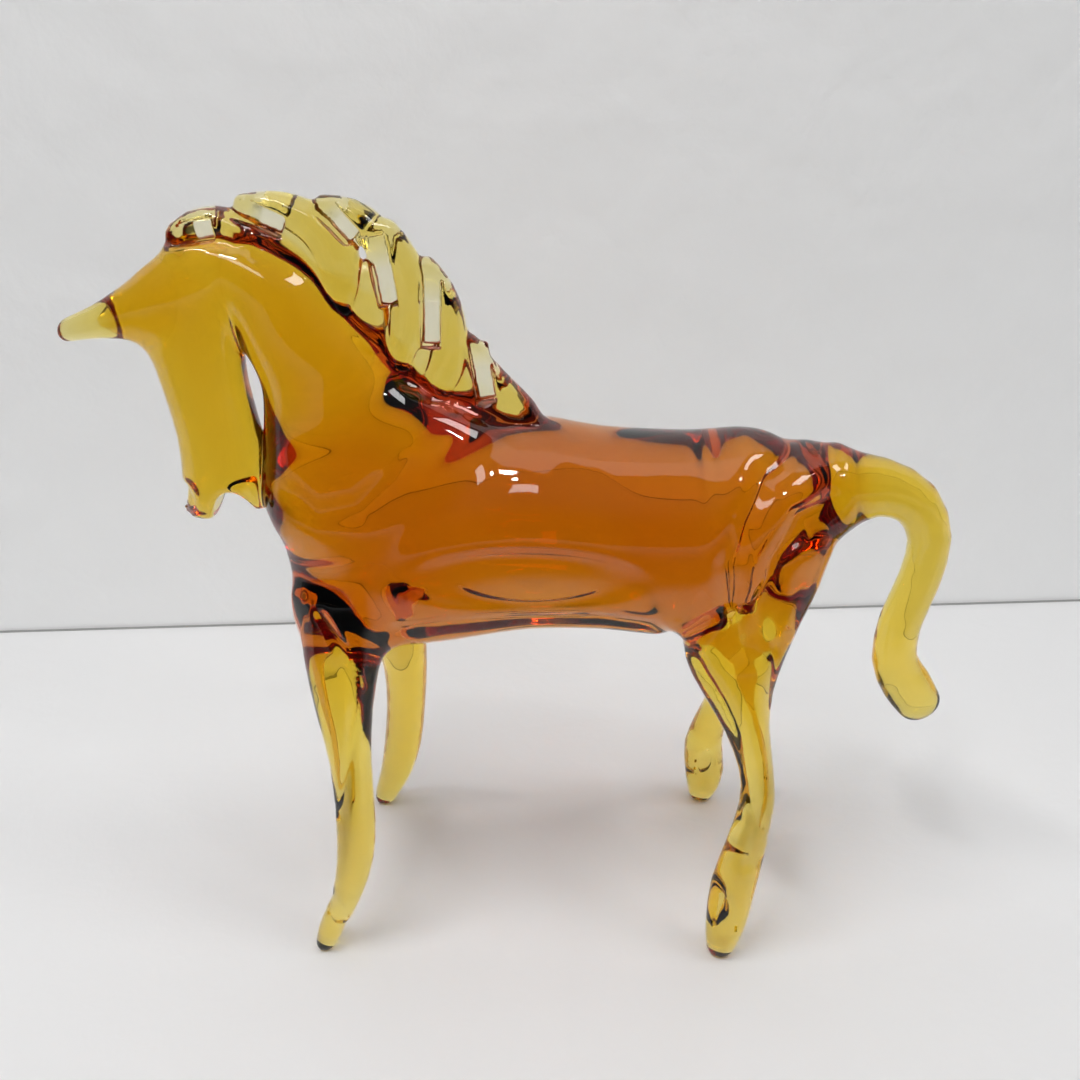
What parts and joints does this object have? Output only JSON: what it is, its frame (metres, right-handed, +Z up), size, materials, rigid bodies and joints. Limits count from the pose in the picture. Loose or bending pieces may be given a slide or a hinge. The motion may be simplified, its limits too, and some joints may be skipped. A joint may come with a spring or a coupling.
{
  "type": "glass horse figurine",
  "caption": "Free-standing horse worked hot from solid amber glass, with a pincered pale mane, open mouth and arched tail.",
  "frame": {"origin": "on the floor, under the middle of the whole figurine", "axes": "+Z up, -X towards the muzzle, -Y towards the horse's left side"},
  "size_m": [0.2024, 0.07, 0.1805],
  "materials": {
    "body_glass": "fire-polished transparent amber, thick",
    "limb_glass": "fire-polished transparent amber, thin",
    "mane_glass": "fire-polished transparent pale amber, thin"
  },
  "bodies": {
    "root": {"torso": "body_glass", "neck": "body_glass", "head": "limb_glass", "left_ear": "limb_glass", "right_ear": "limb_glass", "tail": "limb_glass", "left_foreleg": "limb_glass", "right_foreleg": "limb_glass", "left_hind_leg": "limb_glass", "right_hind_leg": "limb_glass", "forelock": "mane_glass", "mane_lock_1": "mane_glass", "mane_lock_2": "mane_glass", "mane_lock_3": "mane_glass", "mane_lock_4": "mane_glass", "mane_lock_5": "mane_glass"}
  },
  "joints": []
}
